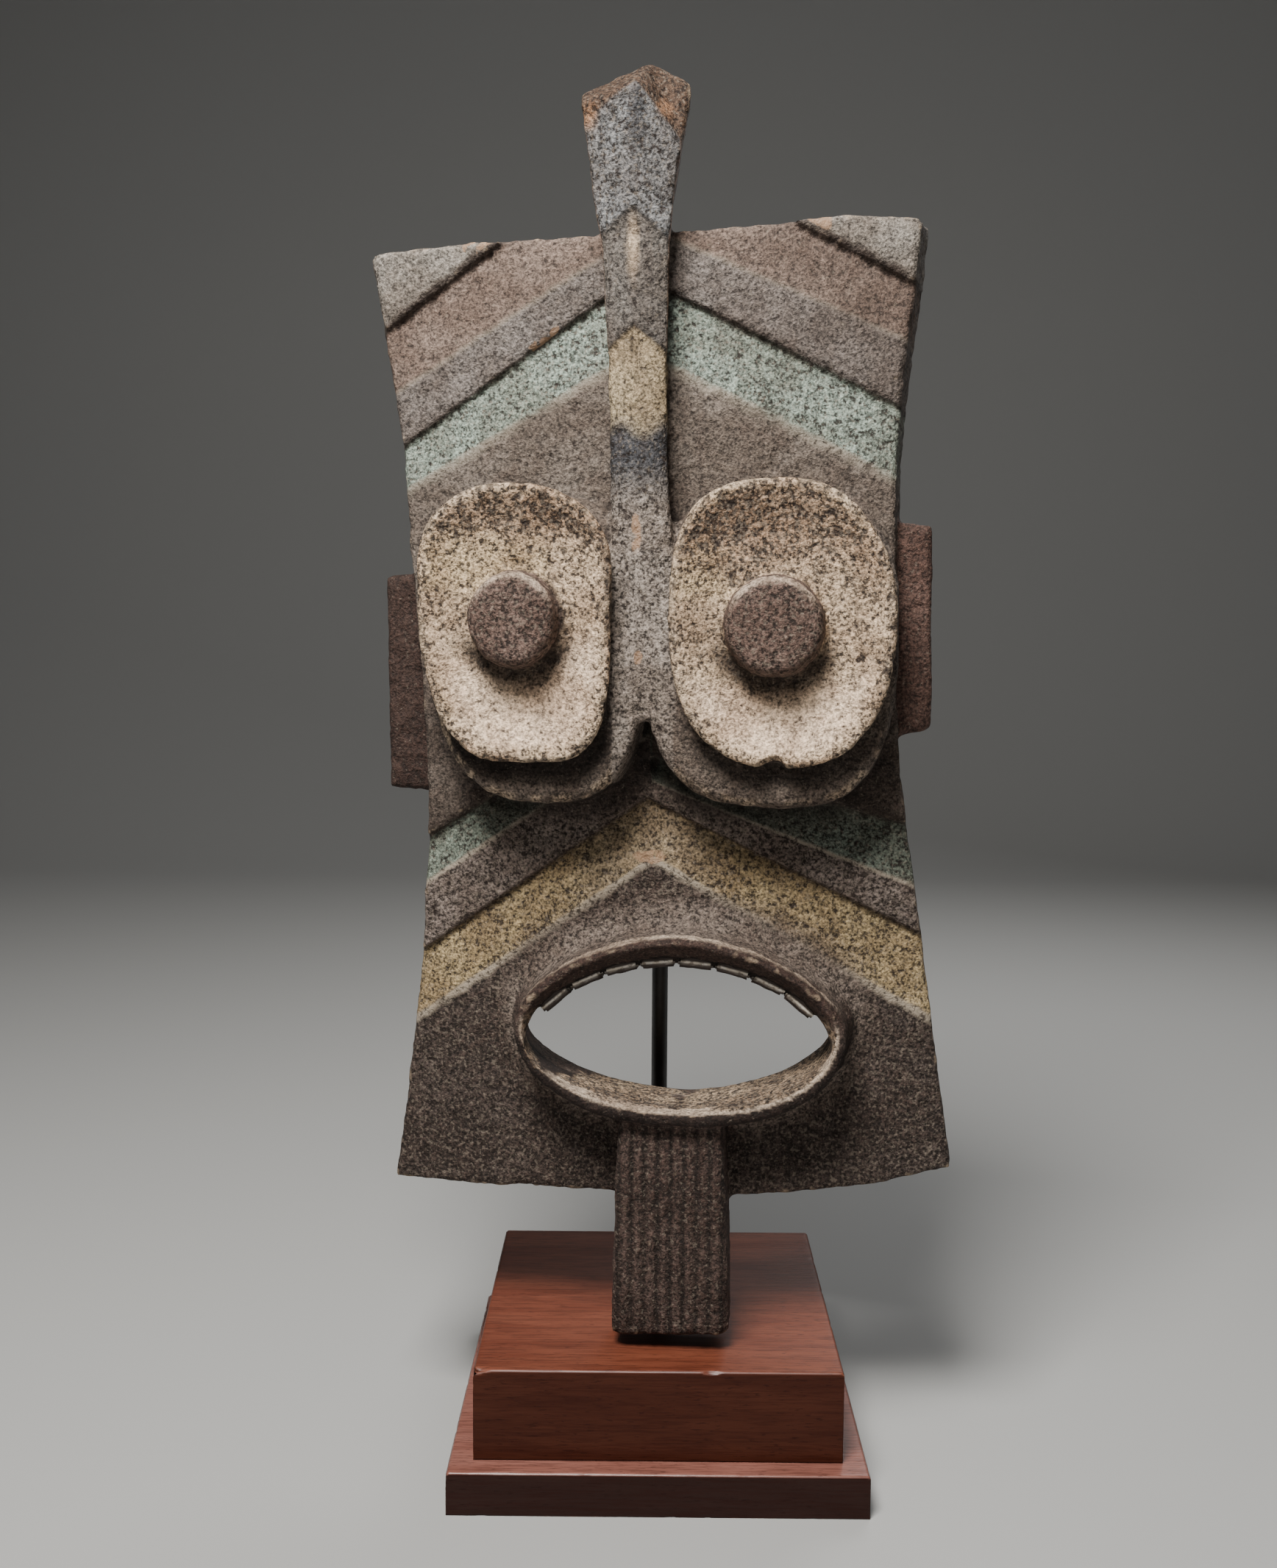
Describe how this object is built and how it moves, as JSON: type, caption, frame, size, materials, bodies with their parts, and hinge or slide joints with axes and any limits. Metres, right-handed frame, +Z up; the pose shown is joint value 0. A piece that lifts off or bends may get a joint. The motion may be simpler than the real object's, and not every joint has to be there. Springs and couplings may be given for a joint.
{
  "type": "carved wooden face mask on a display stand",
  "caption": "Carved wooden face mask with disc eyes, raised oval mouth and chevron relief, upright on a rod and a stepped wooden base",
  "frame": {"origin": "the middle of the underside of the lower plinth, straight below the rod", "axes": "+Z up, the mask looks along -Y, +X is to the right as the mask is looked at"},
  "size_m": [0.2496, 0.1718, 0.5743],
  "materials": {
    "mask_wood": "dry crusty patina with worn bands of grey, red-brown, green and ochre",
    "rod_steel": "satin black",
    "stand_wood": "satin stained",
    "plinth_wood": "satin stained"
  },
  "bodies": {
    "root": {"mask": "mask_wood", "stand_rod": "rod_steel", "upper_block": "stand_wood", "lower_plinth": "plinth_wood"}
  },
  "joints": []
}
